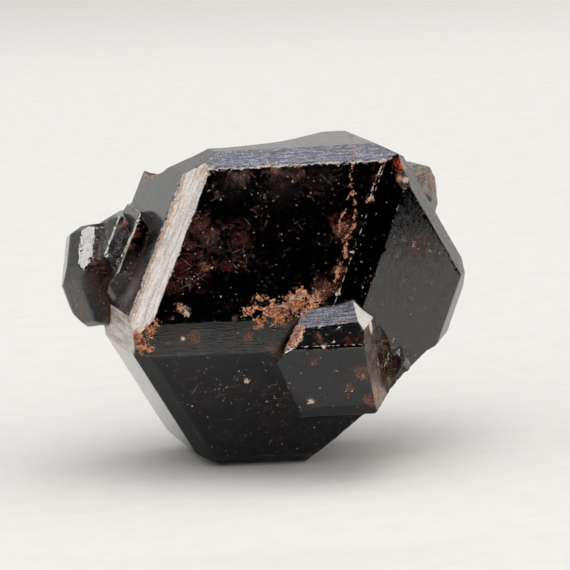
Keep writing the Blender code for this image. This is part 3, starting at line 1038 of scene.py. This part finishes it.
def studio_dome(world, lights):
    """Soft light from all round for the floor, and the dim room that glossy faces show."""
    shader = Shader(world)
    side, depth, height = shader.node("ShaderNodeTexCoord", output="Generated").parts()
    behind = (depth - side * 0.35).ramp(-0.2, 0.6)
    low = height.ramp(0.25, 0.75, 1.0, 0.25)
    room = 0.04 + behind * low * lights.room
    above = height.at_least(0.0)
    right = side.at_least(0.0)
    front = (-depth).at_least(0.0)
    sky = 0.27 + above.power(4.0) * 1.8 + right * right * 1.4 + front * front
    seen = shader.node("ShaderNodeLightPath", output="Is Camera Ray")
    soft = shader.node("ShaderNodeLightPath", output="Is Diffuse Ray")
    shining = shader.node("ShaderNodeMix", inputs={0: soft, 2: room, 3: sky})
    strength = shader.node("ShaderNodeMix", inputs={0: seen, 2: shining, 3: lights.backdrop})
    sheet = shader.node(
        "ShaderNodeBackground", inputs={"Color": (1.0, 0.993, 0.975, 1.0), "Strength": strength}
    )
    shader.output("ShaderNodeOutputWorld", Surface=sheet)


def floor_material(colours):
    """A pale, faintly mottled board, with painted shade that darkens it far behind the crystal."""
    shader = Shader(bpy.data.materials.new("pale_board"))
    place = shader.node("ShaderNodeTexCoord", output="Object")
    mottle = shader.noise(place, 260.0, 4.0, 0.6)
    # Painted shade: the board's colour darkens far behind the crystal.
    far = place.parts()[1].ramp(0.38, 0.62, 0.0, 0.2)
    colour = shader.mix(colours.floor, tuple(c * 0.965 for c in colours.floor), mottle.ramp(0.35, 0.7))
    colour = shader.mix(colour, (0.0, 0.0, 0.0), far)
    board = shader.node(
        "ShaderNodeBsdfPrincipled",
        inputs={
            "Base Color": colour, "Roughness": 0.55, "Specular IOR Level": 0.25,
            "Normal": shader.bump(mottle, 0.15, 0.0002),
        },
    )
    return shader.output(Surface=board)


class GARNET_OT_stage(bpy.types.Operator):
    """Lay the floor, hang the lights and set the camera"""

    bl_idname = "garnet.stage"
    bl_label = "Stage"

    def execute(self, context):
        scene = context.scene
        if "garnet_crystal_surface" not in scene.objects:
            raise RuntimeError("the crystal is made before its stage is set")
        scene.view_settings.view_transform = "Standard"
        floor = bpy.data.objects.new("floor", square("floor", 3.0))
        scene.collection.objects.link(floor)
        floor.data.materials.append(floor_material(scene.garnet_colours))
        lights = plain_numbers(scene.garnet_lights)
        warm, cool = (1.0, 0.98, 0.96), (0.88, 0.94, 1.08)
        studio_light("left_softbox", (-99.0, 54.0), 2.2, 1.6, 1.4, lights.left_box, warm)
        studio_light("back_softbox", (193.0, 66.0), 2.2, 2.0, 1.0, lights.back_box, cool)
        dark_card("right_card", (0.18, -0.09, 0.15), (-90.0, 0.0), 0.42, 0.3, lights.card_shade)
        dark_card("front_card", (-0.03, -0.125, 0.15), (180.0, 0.0), 0.5, 0.3, lights.card_shade)
        # Painted shadow: grey cards on the floor, seen only by glossy faces, stand for the shade round the
        # crystal's foot.
        dark_card("foot_shadow_card", (-0.003, -0.0095, 0.0003), (0.0, 90.0), 0.046, 0.023, lights.foot_shade)
        dark_card("near_shadow_card", (0.002, -0.0345, 0.0003), (0.0, 90.0), 0.056, 0.027, lights.near_shade)
        scene.world = bpy.data.worlds.new("studio")
        studio_dome(scene.world, lights)
        view = scene.garnet_camera
        camera = bpy.data.objects.new("camera", bpy.data.cameras.new("camera"))
        camera.data.lens = view.lens
        camera.data.clip_start = 0.01
        turn = (
            Matrix.Rotation(-view.heading, 4, "Z")
            @ Matrix.Rotation(math.pi / 2 - view.dip, 4, "X")
            @ Matrix.Rotation(view.roll, 4, "Z")
        )
        camera.matrix_world = Matrix.Translation(view.place) @ turn
        scene.collection.objects.link(camera)
        scene.camera = camera
        return {"FINISHED"}


class GARNET_PT_panel(bpy.types.Panel):
    """The crystal's settings and its two operators"""

    bl_idname = "GARNET_PT_panel"
    bl_label = "Garnet crystal"
    bl_space_type = "VIEW_3D"
    bl_region_type = "UI"
    bl_category = "Garnet"

    def draw(self, context):
        for group in (getattr(context.scene, name) for name in GROUPS):
            for name in group.__annotations__:
                self.layout.prop(group, name)
        for operator in OPERATORS:
            self.layout.operator(operator.bl_idname)


GROUPS = {
    "garnet_sizes": GarnetSizes, "garnet_colours": GarnetColours, "garnet_lights": GarnetLights,
    "garnet_camera": GarnetCamera,
}
OPERATORS = (GARNET_OT_crystal, GARNET_OT_stage)


def register():
    for name, group in GROUPS.items():
        bpy.utils.register_class(group)
        setattr(bpy.types.Scene, name, PointerProperty(type=group))
    for made in (*OPERATORS, GARNET_PT_panel):
        bpy.utils.register_class(made)


def unregister():
    for made in (*OPERATORS, GARNET_PT_panel):
        bpy.utils.unregister_class(made)
    for name, group in GROUPS.items():
        delattr(bpy.types.Scene, name)
        bpy.utils.unregister_class(group)


def main():
    register()
    bpy.ops.garnet.crystal()
    bpy.ops.garnet.stage()


if __name__ == "__main__":
    main()
